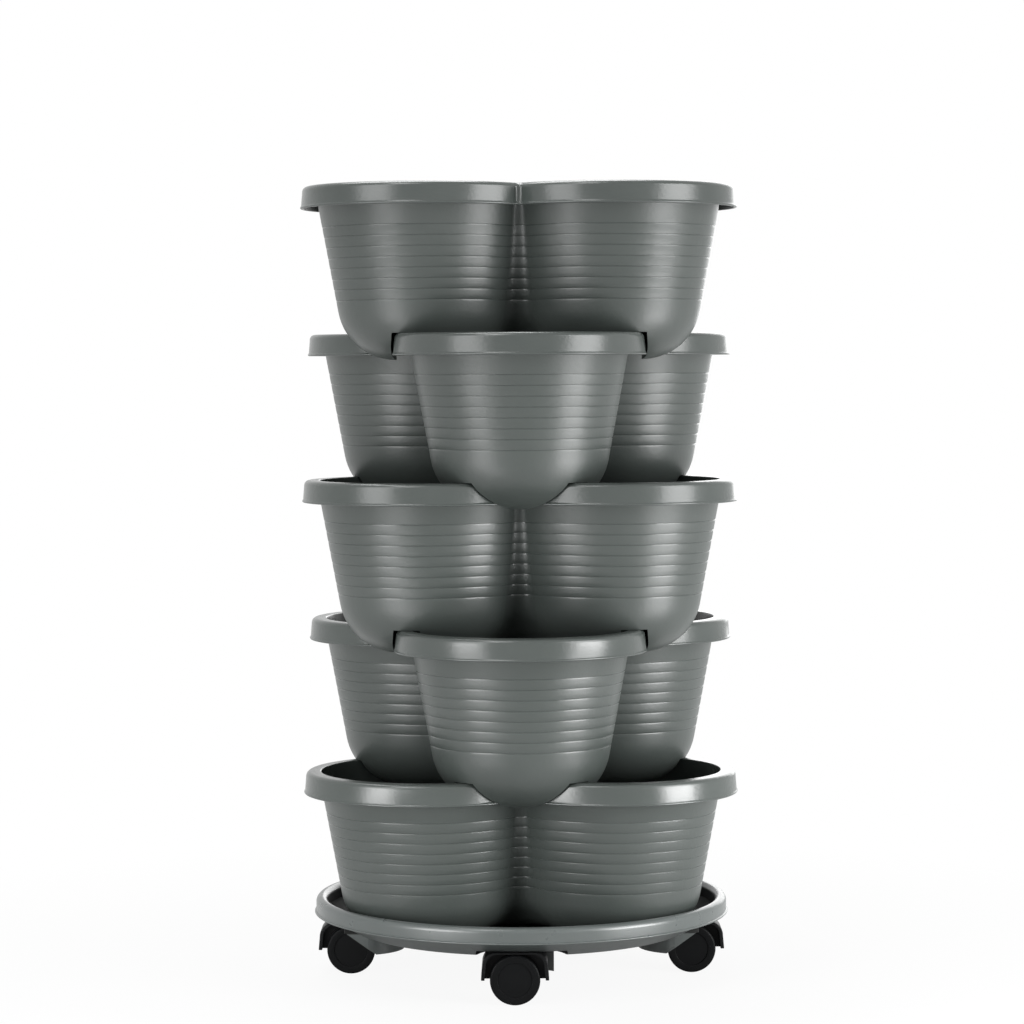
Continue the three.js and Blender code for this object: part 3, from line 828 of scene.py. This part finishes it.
# Soft boxes: distance from the axis, height, and the height on the axis that each points at. The low ones are
# for the walls, which lean towards the floor and mirror what is low down.
FAR_OFF = (3.8, 1.4, 0.6)
LOW_DOWN = (1.0, 0.24, 0.4)
AT_THE_FOOT = (0.62, 0.13, 0.15)
HIGH_BOX_PLACE = (-0.9, -1.7, 2.9)
HIGH_BOX_TARGET = (0, -0.2, 0.3)
TOP_BOX_PLACE = (-0.3, 0.5, 2.3)
TOP_BOX_TARGET = (0, 0, 0.75)


def add_camera():
    data = bpy.data.cameras.new("camera")
    data.lens = CAMERA_LENS
    camera = bpy.data.objects.new("camera", data)
    aim = Matrix.Rotation(math.pi / 2 - CAMERA_TILT, 4, "X") @ Matrix.Rotation(CAMERA_ROLL, 4, "Z")
    camera.matrix_world = Matrix.Translation((CAMERA_ACROSS, -CAMERA_DISTANCE, CAMERA_HEIGHT)) @ aim
    bpy.context.scene.collection.objects.link(camera)
    bpy.context.scene.camera = camera


def soft_box(name, location, target, size, radiance):
    """A lamp of a plain radiance, where 1 is white."""
    data = bpy.data.lights.new(name, "AREA")
    data.shape = "RECTANGLE"
    data.size, data.size_y = size
    data.energy = radiance * math.pi * size[0] * size[1]
    lamp = bpy.data.objects.new(name, data)
    lamp.location = location
    lamp.rotation_euler = (Vector(target) - Vector(location)).to_track_quat("-Z", "Y").to_euler()
    lamp.visible_camera = False
    bpy.context.scene.collection.objects.link(lamp)


def box_round_tower(name, stand, azimuth, size, radiance):
    """A soft box at an angle from the camera's side, positive to the right."""
    distance, height, target_height = stand
    angle = math.radians(azimuth)
    location = (distance * math.sin(angle), -distance * math.cos(angle), height)
    soft_box(name, location, (0, 0, target_height), size, radiance)


def add_lights():
    box_round_tower("left_box", FAR_OFF, azimuth=-47, size=(2.0, 3.0), radiance=4.6)
    box_round_tower("right_box", FAR_OFF, azimuth=62, size=(2.2, 3.0), radiance=7.6)
    box_round_tower("low_left_box", LOW_DOWN, azimuth=-44, size=(0.4, 0.4), radiance=5.5)
    box_round_tower("low_right_box", LOW_DOWN, azimuth=60, size=(0.5, 0.4), radiance=9.5)
    box_round_tower("foot_left_box", AT_THE_FOOT, azimuth=-34, size=(0.3, 0.2), radiance=3.5)
    box_round_tower("foot_right_box", AT_THE_FOOT, azimuth=56, size=(0.3, 0.2), radiance=4)
    soft_box("high_box", HIGH_BOX_PLACE, HIGH_BOX_TARGET, size=(0.9, 0.9), radiance=9)
    box_round_tower("back_box", FAR_OFF, azimuth=165, size=(2.4, 2.4), radiance=2.2)
    soft_box("top_box", TOP_BOX_PLACE, TOP_BOX_TARGET, size=(1.5, 1.0), radiance=8)


def rays_seen(nodes, links):
    """1 for rays from the camera, from mirrors and through glass."""
    path = nodes.new("ShaderNodeLightPath").outputs
    mirrored = together(nodes, links, "MAXIMUM", path["Is Glossy Ray"], path["Is Transmission Ray"])
    return together(nodes, links, "MAXIMUM", path["Is Camera Ray"], mirrored)


def add_world():
    """White to the camera, to mirrors and through glass; plain soft light to everything else."""
    world = bpy.data.worlds.new("studio")
    world.use_nodes = True
    bpy.context.scene.world = world
    nodes, links = world.node_tree.nodes, world.node_tree.links
    background = nodes["Background"]
    background.inputs["Color"].default_value = (1, 1, 1, 1)
    links.new(spread(nodes, links, rays_seen(nodes, links), 0, 1, AMBIENT, 1), background.inputs["Strength"])


def add_floor():
    """A white floor that keeps a faint shadow round the tower and runs out into the white backdrop."""
    half = FLOOR_HALF_WIDTH
    floor = mesh_object("floor", [(-half, -half, 0), (half, -half, 0), (half, half, 0), (-half, half, 0)],
                        [(0, 1, 2, 3)])
    made, nodes, links, shader = material("pale_floor", FLOOR_COLOUR, FLOOR_ROUGHNESS)
    glow = nodes.new("ShaderNodeEmission")
    distance = nodes.new("ShaderNodeVectorMath")
    distance.operation = "LENGTH"
    links.new(nodes.new("ShaderNodeTexCoord").outputs["Object"], distance.inputs[0])
    white = spread(nodes, links, distance.outputs["Value"], *FLOOR_FADE, FLOOR_WHITE, 1)
    shade = spread(nodes, links, distance.outputs["Value"], *SHADE_FADE, FLOOR_IN_SHADE, 1)
    to_camera = nodes.new("ShaderNodeLightPath").outputs["Is Camera Ray"]
    shaded = together(nodes, links, "MULTIPLY", white, together(nodes, links, "MAXIMUM", shade, to_camera))
    mix = nodes.new("ShaderNodeMixShader")
    links.new(together(nodes, links, "MULTIPLY", rays_seen(nodes, links), shaded), mix.inputs["Fac"])
    links.new(shader.outputs[0], mix.inputs[1])
    links.new(glow.outputs[0], mix.inputs[2])
    links.new(mix.outputs[0], nodes["Material Output"].inputs["Surface"])
    floor.data.materials.append(made)


add_camera()
dress_cad_nodes()
add_pots()
add_tray()
add_casters()
add_world()
add_lights()
add_floor()
bpy.context.scene.view_settings.view_transform = "Standard"
